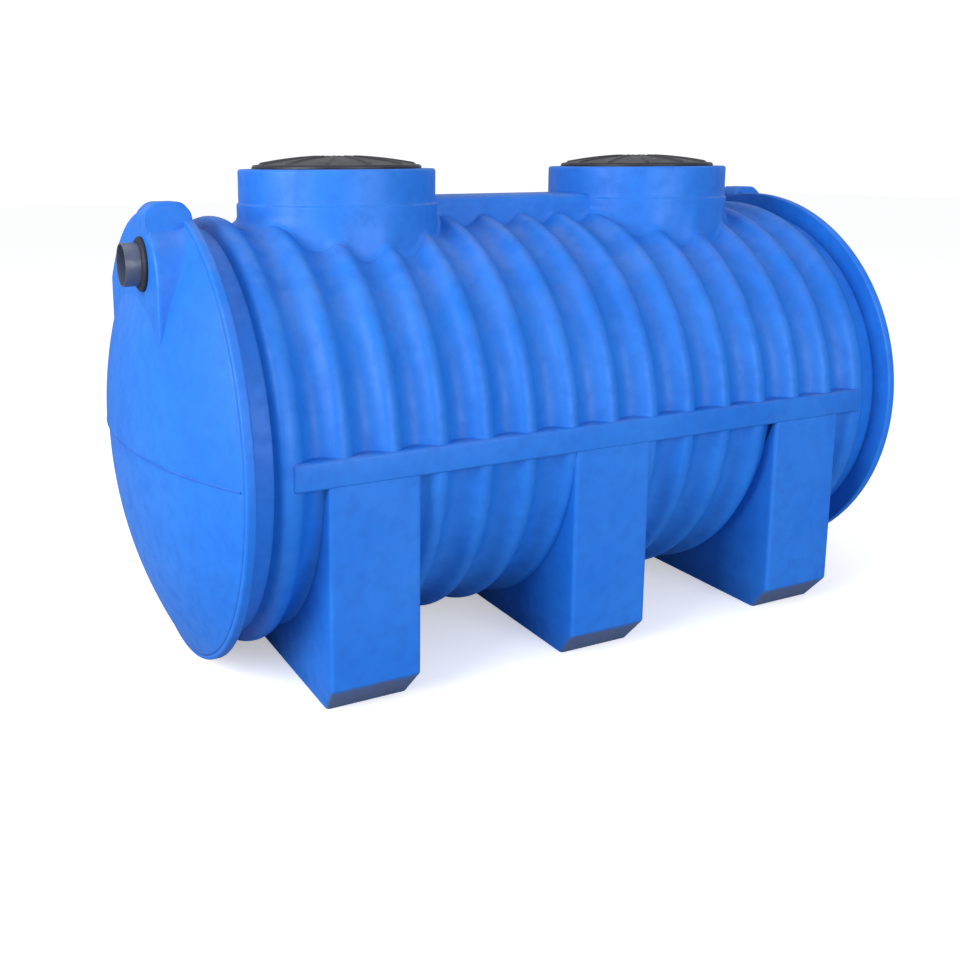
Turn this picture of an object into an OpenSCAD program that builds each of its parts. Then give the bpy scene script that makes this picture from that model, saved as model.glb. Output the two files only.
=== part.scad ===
// Horizontal septic tank, moulded in one piece with a ribbed barrel, two domed
// ends behind flanges, six feet and two manholes with lift-off lids.
// +X is the way the water runs, +Z is up, and z = 0 is the ground under the feet.

/* [Barrel] */
// Length over the outer faces of the two end flanges
tank_len = 2068; // [2060:4:2400]
// Radius over the crests of the ribs
crest_r = 584; // [560:2:592]
// Depth of the valleys between the ribs
rib_depth = 32; // [16:1:40]
// Distance from one rib to the next
rib_pitch = 130; // [120:1:130]
// Ribs between the two end shoulders, an odd number
rib_count = 13; // [9:2:13]
// Width of a rib over its rounded crest
crest_w = 36; // [24:2:48]
// Width of the plain shoulder before each end flange
shoulder_w = 46; // [34:2:52]
// How far the edges of a crest lie under its middle
crest_drop = 5; // [2:1:8]
// Depth of the groove between a shoulder and its flange, under the crests
groove_depth = 30; // [16:1:40]
// Thickness of the moulded wall
wall = 9; // [6:1:12]

/* [Ends] */
// Outer radius of the end flanges
flange_r = 610; // [602:1:640]
// Thickness of the end flanges
flange_t = 26; // [16:1:34]
// How far the upper half of a domed end bulges out of its flange
dome_depth = 154; // [130:2:160]
// How much less the lower half bulges, as a step along the moulding seam
seam_step = 6; // [0:1:12]
// Fullness of the domes, where 1 is a cone and 2 is nearly part of a ball
dome_power = 2.2; // [1.8:0.1:3]
// Flat margin of a flange around its dome
dome_margin = 12; // [8:1:24]

/* [Side rails] */
// Half width of the tank over the faces of its two side rails
rail_reach = 588; // [586:1:598]
// Height of a side rail
rail_h = 70; // [50:2:90]
// Height of a rail's middle over the axis of the barrel
rail_rise = 10; // [0:1:20]

/* [Feet] */
// Gap between the ground and the lowest point of the flanges
ground_gap = 3; // [2:1:40]
// Length of a foot along the tank
foot_l = 246; // [200:2:280]
// Distance from one pair of feet to the next
foot_pitch = 702; // [660:2:740]
// Height of the bevel around the sole of a foot
bevel_h = 76; // [20:2:90]
// How far that bevel runs in under the outer face
bevel_in = 62; // [8:1:80]
// How far it runs in at the two ends of the foot
bevel_end = 12; // [4:1:30]

/* [Manholes] */
// Outer radius of a manhole neck
neck_r = 277; // [260:1:290]
// Height of a manhole's rim over the axis of the barrel
neck_rise = 706; // [680:2:760]
// Place of the inlet manhole along the tank, from the middle towards the inlet
inlet_manhole = 542; // [500:2:560]
// Place of the outlet manhole along the tank, from the middle towards the outlet
outlet_manhole = 508; // [480:2:540]
// Radius of the clear opening through a manhole
manway_r = 212; // [200:1:224]
// Thickness of the inward rim that a lid lies on
rim_t = 14; // [10:1:20]
// Height of the collar around the foot of a neck, over the crests of the ribs
collar_rise = 26; // [16:1:40]
// How far the collar stands out from its neck
collar_out = 5; // [3:1:10]

/* [Lids] */
// Outer radius of a lid
lid_r = 238; // [230:1:258]
// Height of a lid's domed top over its edge
lid_rise = 25; // [16:1:36]
// Thickness of a lid's edge
lid_edge = 8; // [6:1:12]
// Thickness of a lid's shell
lid_wall = 5; // [4:1:7]
// Radial ribs on top of a lid
lid_ribs = 12; // [8:1:16]
// Height of a lid's ribs over its dome
lid_rib_h = 5; // [3:1:8]
// Width of a lid's ribs
lid_rib_w = 10; // [6:1:14]
// Radius of the plain hub in the middle of a lid
lid_hub_r = 56; // [30:2:90]
// Plain margin between a lid's ribs and its edge
lid_rib_end = 14; // [10:1:30]
// Depth of the ring under a lid that drops into the manhole
plug_h = 26; // [16:1:36]
// Gap around the ring under a lid
plug_gap = 4; // [2:1:8]

/* [Deck] */
// Width of the raised deck between the manholes
deck_w = 220; // [160:4:260]
// Height of the deck's top over the crests of the ribs
deck_rise = 42; // [24:2:48]
// Radius of the deck's rounded long edges
deck_edge_r = 24; // [12:1:30]

/* [Pipes] */
// Outer radius of the inlet and outlet pipes
pipe_r = 55; // [45:0.5:62]
// How much thinner a pipe is where its seal grips it
pipe_grip = 1; // [0.6:0.1:1.5]
// Wall of the pipes
pipe_wall = 3.2; // [2.4:0.2:5]
// Height of the pipes over the axis of the barrel
pipe_rise = 475; // [450:1:480]
// How far a pipe stands out of the face of its pad
pipe_out = 52; // [40:1:120]
// How far a pipe reaches into the tank, behind its flange
pipe_in = 60; // [30:2:120]
// Thickness of the rubber seal around a pipe, and the radial gap that it fills
seal_t = 8; // [5:0.5:12]
// Radial width of the seal's lip on the face of the pad
lip_w = 15; // [10:1:20]
// Thickness of the seal's lip
lip_t = 13; // [6:1:16]

/* [Pipe pads] */
// How far the flat face of a pad stands out from its flange
pad_out = 96; // [90:1:120]
// How far a pipe stands to the right of the tank's middle, as seen from in front of it
pad_side = 118; // [80:2:130]
// Radius of the pad's rounded corner, which is drawn around the pipe's side
pad_r = 150; // [120:1:160]
// Height of the centre of that corner over the axis of the barrel
pad_rise = 423; // [410:1:430]
// Radius of the long brow that runs down the other side of the pad
brow_r = 560; // [540:5:580]
// How far the brow's centre lies beyond the pipe
brow_side = 55; // [40:1:70]
// Height of the brow's centre over the axis of the barrel
brow_rise = 52; // [40:1:60]
// How far the pad reaches from the pipe towards the tank's other side
brow_reach = 380; // [360:1:390]
// Height of the flat head on a pad over the top of the flange
head_rise = 20; // [10:1:30]
// Half width of the head
head_half = 38; // [30:1:50]
// Bevel along the front edge of the head
head_bevel = 26; // [16:1:34]
/* [Hidden] */

tank_blue = [0.16, 0.45, 0.88];
lid_black = [0.13, 0.13, 0.15];
pipe_grey = [0.42, 0.43, 0.48];
seal_black = [0.10, 0.09, 0.11];

axis_z = flange_r + ground_gap;          // height of the barrel's axis
barrel_end = tank_len / 2 - flange_t;    // inner face of each flange
shoulder_x = rib_pitch * (rib_count + 1) / 2;
last_rib = (rib_count + 1) / 2;          // number of the shoulder, counted from the middle rib
dome_r = flange_r - dome_margin;         // radius of a dome where it leaves its flange
lid_ball_r = (lid_r * lid_r + lid_rise * lid_rise) / (2 * lid_rise);
bay_half = neck_r + 25;                  // half length of the crown around a manhole
rim_z = axis_z + neck_rise;
pipe_z = axis_z + pipe_rise;
pad_x = tank_len / 2 + pad_out;          // face of each pipe pad
pipe_len = pipe_out + pad_out + flange_t + pipe_in;
far = 2 * tank_len;                      // longer than anything that it cuts
bite = 1;                                // how far a cutter runs past a face
slack = 0.1;                             // play around the barrel in what is seated on it
lip_gap = 1;                             // from a seal's lip to the full-size end of its pipe

// ---- outline of the barrel ----

// Half width of rib i, where the outermost ones are the plain shoulders.
function half_w(i) = (abs(i) == last_rib ? shoulder_w : crest_w) / 2;

// Rounded crest of rib i as [radius, x] points, with 2 n + 1 of them.
function crest(i, n) = [
    for (t = [-n : n]) [crest_r - crest_drop * pow(t / n, 2), i * rib_pitch + half_w(i) * t / n]
];

// Concave valley after rib i, without its two ends, in n steps.
function valley(i, n) = let (
    from = i * rib_pitch + half_w(i),
    to = (i + 1) * rib_pitch - half_w(i + 1)
) [
    for (t = [1 : n - 1]) [
        crest_r - crest_drop - (rib_depth - crest_drop) * (1 - pow(2 * t / n - 1, 2)),
        from + (to - from) * t / n
    ]
];

// The barrel's outline from flange to flange, shifted inwards by inset.
function outline(crest_steps, valley_steps, inset) = let (
    groove_x = shoulder_x + shoulder_w / 2 + groove_depth / 3,
    middle = [
        for (i = [-last_rib : last_rib])
        each concat(crest(i, crest_steps), i < last_rib ? valley(i, valley_steps) : [])
    ],
    all = concat(
        [[crest_r - groove_depth, -barrel_end], [crest_r - groove_depth, -groove_x]],
        middle,
        [[crest_r - groove_depth, groove_x], [crest_r - groove_depth, barrel_end]]
    )
) [for (p = all) [p[0] - inset, p[1]]];

outer_line = outline(2, 6, 0);
inner_line = outline(1, 4, wall);

// Turns children, drawn as [radius, x], around the barrel's axis.
// Angles start at the bottom and run up the left side, over the top and down the right.
module around_axis(start = 0, sweep = 360) {
    translate([0, 0, axis_z])
    rotate([0, 90, 0])
    rotate([0, 0, start])
    rotate_extrude(angle = sweep, $fn = 144)
    children();
}

// Everything inside the barrel's outer face and a little more, to trim what sits on it.
module barrel_body() {
    around_axis()
    polygon(concat([[0, -barrel_end]], outline(2, 6, -slack), [[0, barrel_end]]));
}

// One sector of the ribbed wall.
module shell(start, sweep = 45) {
    color(tank_blue)
    around_axis(start, sweep)
    polygon(concat(outer_line, [for (k = [len(inner_line) - 1 : -1 : 0]) inner_line[k]]));
}

// The crown is the top quarter of the wall, cut to a bay from x0 to x1.
module crown(x0, x1) {
    color(tank_blue)
    intersection() {
        shell(135, 90);
        translate([x0, -far / 2, 0])
        cube([x1 - x0, far, far]);
    }
}

// A bay of the crown with the hole under a manhole neck at x.
module manhole_crown(x) {
    color(tank_blue)
    difference() {
        crown(x - bay_half, x + bay_half);
        translate([x, 0, axis_z])
        cylinder(h = far, r = neck_r - wall, $fn = 120);
    }
}

// ---- ends ----

// Turns the inlet end's pieces round to the outlet end.
module at_end(side) {
    rotate([0, 0, side > 0 ? 180 : 0])
    children();
}

module flange(side) {
    color(tank_blue)
    at_end(side)
    around_axis()
    translate([crest_r - groove_depth - wall, -tank_len / 2])
    square([flange_r - crest_r + groove_depth + wall, flange_t]);
}

// Outline of a domed end from its middle to its rim as [radius, x], for a bulge of depth.
function dome_line(depth, radius, n) = [
    for (k = [0 : n]) [radius * k / n, -tank_len / 2 - depth * (1 - pow(k / n, dome_power))]
];

// Solid under the inlet end's two half domes, drawn in by inset and run back by extra.
module cap(inset = 0, extra = 0) {
    for (half = [0, 1])
    around_axis(90 + 180 * half, 180)
    polygon(concat(
        dome_line(dome_depth - half * seam_step - inset, dome_r - inset, 16),
        [[dome_r - inset, extra - tank_len / 2], [0, extra - tank_len / 2]]
    ));
}

// Front view of a pad: a round corner by the pipe, and a brow down its other side.
module pad_outline() {
    intersection() {
        circle(r = flange_r, $fn = 240);
        translate([-pad_side - brow_side, brow_rise])
        circle(r = brow_r, $fn = 240);
        union() {
            translate([-pad_side, pad_rise])
            circle(r = pad_r, $fn = 120);
            translate([-pad_side - pad_r, 0])
            square([pad_r, pad_rise]);
            translate([-pad_side, 0])
            square([brow_reach, flange_r]);
        }
    }
}

module pipe_hole(radius) {
    translate([-far, -pad_side, pipe_z])
    rotate([0, 90, 0])
    cylinder(h = far, r = radius, $fn = 96);
}

module dome(side) {
    color(tank_blue)
    at_end(side)
    difference() {
        cap();
        cap(wall, bite);
        pipe_hole(pipe_r + seal_t);
    }
}

// Raised face around the pipe, with a flat head that reaches over the flange.
module pad(side) {
    color(tank_blue)
    at_end(side)
    difference() {
        union() {
            translate([-pad_x, 0, axis_z])
            rotate([90, 0, 90])
            linear_extrude(pad_out)
            pad_outline();
            head();
        }
        cap();
        around_axis()
        translate([0, -tank_len / 2])
        square([flange_r, far]);
        pipe_hole(pipe_r + seal_t);
    }
}

// Block on top of a pad, bevelled in front and sloping down over the flange behind.
module head() {
    top = flange_r + head_rise;
    flange_back = flange_t - tank_len / 2;
    translate([0, head_half - pad_side, axis_z])
    rotate([90, 0, 0])
    linear_extrude(2 * head_half)
    polygon([
        [-pad_x, pad_rise], [flange_back, pad_rise], [flange_back, top - head_bevel],
        [-tank_len / 2, top], [head_bevel - pad_x, top], [-pad_x, top - head_bevel]
    ]);
}

// ---- side rails, deck and feet ----

module rail(side) {
    color(tank_blue)
    difference() {
        translate([-shoulder_x, side > 0 ? 0 : -rail_reach, axis_z + rail_rise - rail_h / 2])
        cube([2 * shoulder_x, rail_reach, rail_h]);
        barrel_body();
    }
}

// Raised deck with rounded long edges, from neck to neck.
module deck() {
    top = axis_z + crest_r + deck_rise;
    color(tank_blue)
    difference() {
        translate([-inlet_manhole, 0, 0])
        rotate([90, 0, 90])
        linear_extrude(inlet_manhole + outlet_manhole)
        union() {
            translate([-deck_w / 2, axis_z])
            square([deck_w, top - deck_edge_r - axis_z]);
            translate([-deck_w / 2 + deck_edge_r, axis_z])
            square([deck_w - 2 * deck_edge_r, top - axis_z]);
            for (s = [-1, 1])
            translate([s * (deck_w / 2 - deck_edge_r), top - deck_edge_r])
            circle(r = deck_edge_r, $fn = 48);
        }
        barrel_body();
        neck_blank(-inlet_manhole);
        neck_blank(outlet_manhole);
    }
}

// Half of the saddle that carries the barrel at x, with a bevelled sole.
module foot(x, side) {
    top = axis_z + rail_rise - rail_h / 2;
    half = foot_l / 2;
    color(tank_blue)
    mirror([0, side > 0 ? 0 : 1, 0])
    difference() {
        intersection() {
            translate([x - half, 0, 0])
            rotate([90, 0, 90])
            linear_extrude(foot_l)
            polygon([
                [0, 0], [rail_reach - bevel_in, 0], [rail_reach, bevel_h], [rail_reach, top], [0, top]
            ]);
            translate([x, rail_reach, 0])
            rotate([90, 0, 0])
            linear_extrude(rail_reach)
            polygon([
                [bevel_end - half, 0], [half - bevel_end, 0], [half, bevel_h],
                [half, top], [-half, top], [-half, bevel_h]
            ]);
        }
        barrel_body();
    }
}

// ---- manholes ----

// Outside of a neck with the collar around its foot.
module neck_blank(x) {
    translate([x, 0, axis_z])
    union() {
        cylinder(h = neck_rise, r = neck_r, $fn = 120);
        cylinder(h = crest_r + collar_rise, r = neck_r + collar_out, $fn = 120);
    }
}

module neck(x) {
    color(tank_blue)
    difference() {
        neck_blank(x);
        translate([x, 0, axis_z])
        cylinder(h = neck_rise - rim_t, r = neck_r - wall, $fn = 120);
        translate([x, 0, axis_z])
        cylinder(h = far, r = manway_r, $fn = 120);
        barrel_body();
    }
}

// Height over the rim of a lid's domed top, less down, at radius r.
function lid_z(r, down = 0) = lid_edge - down + sqrt(lid_ball_r * lid_ball_r - r * r) - lid_ball_r + lid_rise;

// Domed lid with radial ribs, and a ring under it that drops into the manhole.
module lid(x) {
    plug_r = manway_r - plug_gap;
    inside = plug_r - lid_wall;
    steps = 12;
    color(lid_black)
    translate([x, 0, rim_z])
    union() {
        rotate_extrude($fn = 120)
        polygon(concat(
            [for (k = [0 : steps]) [lid_r * k / steps, lid_z(lid_r * k / steps)]],
            [[lid_r, 0], [plug_r, 0], [plug_r, -plug_h], [inside, -plug_h]],
            [for (k = [steps : -1 : 0]) [inside * k / steps, lid_z(inside * k / steps, lid_wall)]]
        ));
        for (k = [0 : lid_ribs - 1])
        rotate([0, 0, 360 * k / lid_ribs])
        lid_rib(steps);
    }
}

// One rib from the lid's hub to its edge, following the dome.
module lid_rib(steps) {
    reach = lid_r - lid_rib_end;
    translate([0, lid_rib_w / 2, 0])
    rotate([90, 0, 0])
    linear_extrude(lid_rib_w)
    polygon(concat(
        [for (k = [0 : steps]) let (r = lid_hub_r + (reach - lid_hub_r) * k / steps) [r, lid_z(r, -lid_rib_h)]],
        [for (k = [steps : -1 : 0]) let (r = lid_hub_r + (reach - lid_hub_r) * k / steps) [r, lid_z(r, bite)]]
    ));
}

// ---- pipes ----

module pipe(side) {
    color(pipe_grey)
    at_end(side)
    difference() {
        union() {
            pipe_blank(pipe_r, pipe_out - lip_t - lip_gap);
            pipe_blank(pipe_r - pipe_grip, pipe_len);
        }
        translate([-bite, 0, 0])
        pipe_blank(pipe_r - pipe_wall, pipe_len + 2 * bite);
    }
}

// Round bar of a given length from the mouth of the inlet pipe inwards.
module pipe_blank(radius, length) {
    translate([-pad_x - pipe_out, -pad_side, pipe_z])
    rotate([0, 90, 0])
    cylinder(h = length, r = radius, $fn = 96);
}

// Rubber seal: a sleeve in the wall and a lip on the face of the pad.
module seal(side) {
    color(seal_black)
    at_end(side)
    difference() {
        translate([-pad_x, -pad_side, pipe_z])
        rotate([0, 90, 0])
        union() {
            cylinder(h = pad_out, r = pipe_r + seal_t, $fn = 96);
            translate([0, 0, -lip_t])
            cylinder(h = lip_t, r = pipe_r + lip_w, $fn = 96);
        }
        pipe_blank(pipe_r - pipe_grip, pipe_len);
    }
}

shell(0);  // shell_bottom_left
shell(315);  // shell_bottom_right
shell(45);  // shell_low_left
shell(270);  // shell_low_right
shell(90);  // shell_high_left
shell(225);  // shell_high_right
crown(-barrel_end, -inlet_manhole - bay_half);  // crown_inlet_end
manhole_crown(-inlet_manhole);  // crown_inlet_manhole
crown(bay_half - inlet_manhole, outlet_manhole - bay_half);  // crown_middle
manhole_crown(outlet_manhole);  // crown_outlet_manhole
crown(outlet_manhole + bay_half, barrel_end);  // crown_outlet_end
flange(-1);  // flange_inlet
flange(1);  // flange_outlet
dome(-1);  // dome_inlet
dome(1);  // dome_outlet
rail(1);  // rail_left
rail(-1);  // rail_right
deck();
foot(-foot_pitch, 1);  // foot_inlet_left
foot(-foot_pitch, -1);  // foot_inlet_right
foot(0, 1);  // foot_middle_left
foot(0, -1);  // foot_middle_right
foot(foot_pitch, 1);  // foot_outlet_left
foot(foot_pitch, -1);  // foot_outlet_right
neck(-inlet_manhole);  // neck_inlet
neck(outlet_manhole);  // neck_outlet
lid(-inlet_manhole);  // lid_inlet
lid(outlet_manhole);  // lid_outlet
pad(-1);  // pad_inlet
pad(1);  // pad_outlet
pipe(-1);  // pipe_inlet
pipe(1);  // pipe_outlet
seal(-1);  // seal_inlet
seal(1);  // seal_outlet
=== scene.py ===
"""Looks of a horizontal moulded septic tank: its skins, finishes, light and camera.

Lengths are in metres. +X is the way the water runs, +Y the tank's left, +Z up, and
z = 0 is the ground under the feet. Each sub-assembly is a class that computes its
surfaces as numpy arrays over a grid of two parameters and dresses them.
"""

import logging
import math
from dataclasses import dataclass
from enum import Enum

import bmesh
import bpy
import numpy as np
from mathutils import Matrix, Vector

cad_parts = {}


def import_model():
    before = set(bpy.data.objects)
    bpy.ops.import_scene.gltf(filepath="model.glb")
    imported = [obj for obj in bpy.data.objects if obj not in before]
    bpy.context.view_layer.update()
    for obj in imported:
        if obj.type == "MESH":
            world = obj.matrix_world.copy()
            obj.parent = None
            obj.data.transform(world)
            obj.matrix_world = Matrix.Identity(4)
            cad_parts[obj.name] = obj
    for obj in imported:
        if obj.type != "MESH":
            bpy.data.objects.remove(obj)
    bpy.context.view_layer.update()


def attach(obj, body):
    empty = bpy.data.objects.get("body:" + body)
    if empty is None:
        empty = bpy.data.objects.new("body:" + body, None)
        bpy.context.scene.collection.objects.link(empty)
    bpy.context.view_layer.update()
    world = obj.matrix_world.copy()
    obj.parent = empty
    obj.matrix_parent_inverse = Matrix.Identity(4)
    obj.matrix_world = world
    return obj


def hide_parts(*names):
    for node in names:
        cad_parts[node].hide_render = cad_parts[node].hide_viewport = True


LOG = logging.getLogger("septic_tank")
Array = np.ndarray
Parts = list[tuple[Array, Array]]
Place = tuple[float, float, float]
Colour = tuple[float, float, float]
Material = bpy.types.Material
Socket = bpy.types.NodeSocket

# Sizes that several sub-assemblies share.
AXIS_Z = 0.613  # height of the barrel's axis
INLET_X, OUTLET_X = -0.542, 0.508  # middles of the two manholes
NECK_MID_R = 0.2725  # radius of the middle of a neck's wall
SADDLE_X = 0.702  # middle of the outer pairs of feet
SIDE_REACH = 0.588  # outer faces of the feet and rails
WALL_T = 0.009  # wall of the moulding


class Body(Enum):
    """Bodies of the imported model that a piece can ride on."""

    TANK = "tank"
    INLET_LID = "inlet_lid"
    OUTLET_LID = "outlet_lid"


class End(Enum):
    """The two ends of the tank, as the turn about +Z that brings the inlet end there."""

    INLET = 1.0
    OUTLET = -1.0

    @property
    def word(self) -> str:
        """The end's name as the nodes spell it."""
        return self.name.lower()

    def place(self, points: Array) -> Array:
        """Turns points of the inlet end round to this end."""
        return points * np.array([self.value, self.value, 1.0])


# ---- grids and profiles ----


def smooth(edge0: float, edge1: float, x: Array) -> Array:
    """Cubic step: 0 below edge0, 1 above edge1, and 3 t t - 2 t t t between them.

    Args:
        edge0: Value where the step starts.
        edge1: Value where the step is complete.
        x: Values to map.

    Returns:
        The step at each value.
    """
    t = np.clip((x - edge0) / (edge1 - edge0), 0.0, 1.0)
    return t * t * (3.0 - 2.0 * t)


def soft_max(a: Array, b: Array, k: float) -> Array:
    """Larger of a and b, blended where they differ by less than k.

    Args:
        a: First surface.
        b: Second surface.
        k: Width of the blend.

    Returns:
        max(a, b) + h h k / 4 with h = max(0, 1 - |a - b| / k).
    """
    h = np.maximum(0.0, 1.0 - np.abs(a - b) / k)
    return np.maximum(a, b) + h * h * k / 4.0


def rounded_line(corners: list[tuple[float, float]], radii: list[float], steps: int = 5) -> Array:
    """Open line whose inner corners are rounded by quadratic arcs.

    Args:
        corners: The line's corners as (a, b).
        radii: Distance from each corner at which its arc starts, 0 at the two ends.
        steps: Segments on each arc.

    Returns:
        Points (n, 2), where a rounded corner B between A and C is
        (1-t)^2 P + 2 t (1-t) B + t^2 Q, with P and Q at the radius from B.
    """
    pts = np.array(corners, float)
    out = [pts[:1]]
    t = np.linspace(0.0, 1.0, steps + 1)[:, None]
    for i in range(1, len(pts) - 1):
        if radii[i] <= 0.0:
            out.append(pts[i : i + 1])
            continue
        back, ahead = pts[i - 1] - pts[i], pts[i + 1] - pts[i]
        p = pts[i] + back / np.linalg.norm(back) * radii[i]
        q = pts[i] + ahead / np.linalg.norm(ahead) * radii[i]
        out.append((1 - t) ** 2 * p + 2 * t * (1 - t) * pts[i] + t * t * q)
    out.append(pts[-1:])
    return np.concatenate(out)


def refine(line: Array, longest: float) -> Array:
    """Line (n, 2) with points added evenly so that no segment is longer than longest."""
    gaps = np.linalg.norm(np.diff(line, axis=0), axis=1)
    run = np.concatenate([[0.0], np.cumsum(gaps)])
    spots = [
        np.linspace(a, b, max(2, int(math.ceil((b - a) / longest)) + 1))[:-1]
        for a, b in zip(run[:-1], run[1:])
    ]
    at = np.concatenate(spots + [run[-1:]])
    return np.stack([np.interp(at, run, line[:, 0]), np.interp(at, run, line[:, 1])], axis=1)


@dataclass
class Surface:
    """A grid of points (u, v, 3) with the ways in which it closes on itself."""

    points: Array
    wrap_u: bool = False
    wrap_v: bool = False
    flip: bool = False

    def mesh_data(self, keep: Array | None = None) -> tuple[Array, Array]:
        """Vertices and quads of the grid.

        Args:
            keep: Mask over the quads (u, v) that stay, or None for all.

        Returns:
            Vertices (n, 3) and faces (m, 4).
        """
        nu, nv = self.points.shape[:2]
        index = np.arange(nu * nv).reshape(nu, nv)
        if self.wrap_u:
            index = np.concatenate([index, index[:1]], axis=0)
        if self.wrap_v:
            index = np.concatenate([index, index[:, :1]], axis=1)
        a, b, c, d = index[:-1, :-1], index[1:, :-1], index[1:, 1:], index[:-1, 1:]
        quads = np.stack([a, b, c, d], axis=-1)
        if keep is not None:
            quads = quads[keep]
        quads = quads.reshape(-1, 4)
        if self.flip:
            quads = quads[:, ::-1]
        return self.points.reshape(-1, 3), quads


def revolve(line: Array, steps: int, centre: Place, flip: bool = False) -> Surface:
    """Surface of revolution about an axis along x: point (r, h) goes to h, r cos a, r sin a.

    Args:
        line: Profile (n, 2) as radius and place along the axis.
        steps: Points around.
        centre: Where place 0 of the axis lies.
        flip: Whether the faces turn over.

    Returns:
        The closed grid.
    """
    a = np.linspace(0.0, 2 * math.pi, steps, endpoint=False)[None, :]
    r, h = line[:, :1], line[:, 1:] + 0.0 * a
    points = np.stack([h, r * np.cos(a), r * np.sin(a)], axis=-1) + np.array(centre)
    return Surface(points, wrap_v=True, flip=flip)


def whole_quads(stays: Array) -> Array:
    """Mask of the quads whose four corners all stay, on a grid that closes along v."""
    ring = np.concatenate([stays, stays[:, :1]], axis=1)
    return ring[:-1, :-1] & ring[1:, :-1] & ring[1:, 1:] & ring[:-1, 1:]


@dataclass
class Piece:
    """A finished object: its body, its finish and the nodes that it stands for."""

    name: str
    body: Body
    material: Material
    slot: str
    nodes: tuple[str, ...] = ()
    smooth_angle: float = 40.0

    def build(self, parts: Parts, wall: float = 0.0) -> bpy.types.Object:
        """Joins the parts into one mesh object and hands it to the frame.

        Args:
            parts: Vertices and quads of each surface.
            wall: Thickness that is added behind the surface, or 0 for none.

        Returns:
            The object, riding on its body.
        """
        starts = np.cumsum([0] + [len(points) for points, _ in parts])
        v = np.concatenate([points for points, _ in parts]).astype(np.float32)
        f = np.concatenate([quads + start for (_, quads), start in zip(parts, starts)]).astype(np.int32)
        mesh = bpy.data.meshes.new(self.name)
        mesh.vertices.add(len(v))
        mesh.vertices.foreach_set("co", v.ravel())
        mesh.loops.add(f.size)
        mesh.loops.foreach_set("vertex_index", f.ravel())
        mesh.polygons.add(len(f))
        mesh.polygons.foreach_set("loop_start", np.arange(0, f.size, 4, dtype=np.int32))
        mesh.polygons.foreach_set("loop_total", np.full(len(f), 4, dtype=np.int32))
        mesh.update(calc_edges=True)
        mesh.validate()
        weld(mesh)
        mesh.polygons.foreach_set("use_smooth", np.ones(len(mesh.polygons), dtype=bool))
        mesh.set_sharp_from_angle(angle=math.radians(self.smooth_angle))
        mesh.materials.append(self.material)
        piece = bpy.data.objects.new(self.name, mesh)
        bpy.context.scene.collection.objects.link(piece)
        if wall:
            solid = piece.modifiers.new("wall", "SOLIDIFY")
            solid.thickness, solid.offset, solid.use_even_offset = wall, -1.0, False
        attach(piece, self.body.value)
        if self.nodes:
            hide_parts(*self.nodes)
        LOG.info("%s: %d faces", self.name, len(mesh.polygons))
        return piece


def weld(mesh: bpy.types.Mesh, gap: float = 1e-5) -> None:
    """Merges points of a mesh that lie within gap of each other, and drops loose ones."""
    work = bmesh.new()
    work.from_mesh(mesh)
    bmesh.ops.remove_doubles(work, verts=work.verts, dist=gap)
    loose = [v for v in work.verts if not v.link_faces]
    bmesh.ops.delete(work, geom=loose, context="VERTS")
    work.to_mesh(mesh)
    work.free()


# ---- finishes ----


class Nodes:
    """Short way to lay out a node tree: each call adds one node and links its inputs."""

    def __init__(self, tree: bpy.types.NodeTree) -> None:
        """Starts on an empty tree."""
        self.tree = tree

    def add(self, kind: str, inputs: dict | None = None, **settings: object) -> bpy.types.Node:
        """Adds a node.

        Args:
            kind: Blender's node type.
            inputs: Input name or number to a value or an output socket.
            settings: Properties set on the node.

        Returns:
            The node.
        """
        node = self.tree.nodes.new(kind)
        for key, value in settings.items():
            setattr(node, key, value)
        for key, value in (inputs or {}).items():
            socket = node.inputs[key]
            if isinstance(value, Socket):
                self.tree.links.new(value, socket)
            else:
                socket.default_value = value
        return node

    def link(self, value: Socket, socket: Socket) -> None:
        """Leads an output socket into an input socket."""
        self.tree.links.new(value, socket)

    def noise(self, vector: Socket, scale: float, detail: float = 3.0, rough: float = 0.55) -> Socket:
        """Fractal noise of the given scale in features per metre, as a factor."""
        inputs = {"Vector": vector, "Scale": scale, "Detail": detail, "Roughness": rough}
        return self.add("ShaderNodeTexNoise", inputs).outputs["Fac"]

    def math(self, op: str, a: object, b: object = 0.0, clamp: bool = False) -> Socket:
        """One arithmetic step on two values."""
        return self.add("ShaderNodeMath", {0: a, 1: b}, operation=op, use_clamp=clamp).outputs[0]

    def times(self, a: object, b: object, clamp: bool = False) -> Socket:
        """Product of two values."""
        return self.math("MULTIPLY", a, b, clamp)

    def ramp(self, value: Socket, low: float, high: float) -> Socket:
        """Smooth step of a value from 0 at low to 1 at high."""
        inputs = {"Value": value, "From Min": low, "From Max": high}
        return self.add("ShaderNodeMapRange", inputs, interpolation_type="SMOOTHSTEP").outputs["Result"]

    def mix(self, factor: object, a: object, b: object) -> Socket:
        """Colour a turned into colour b by the factor."""
        return self.add("ShaderNodeMix", {0: factor, 6: a, 7: b}, data_type="RGBA").outputs[2]


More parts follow.
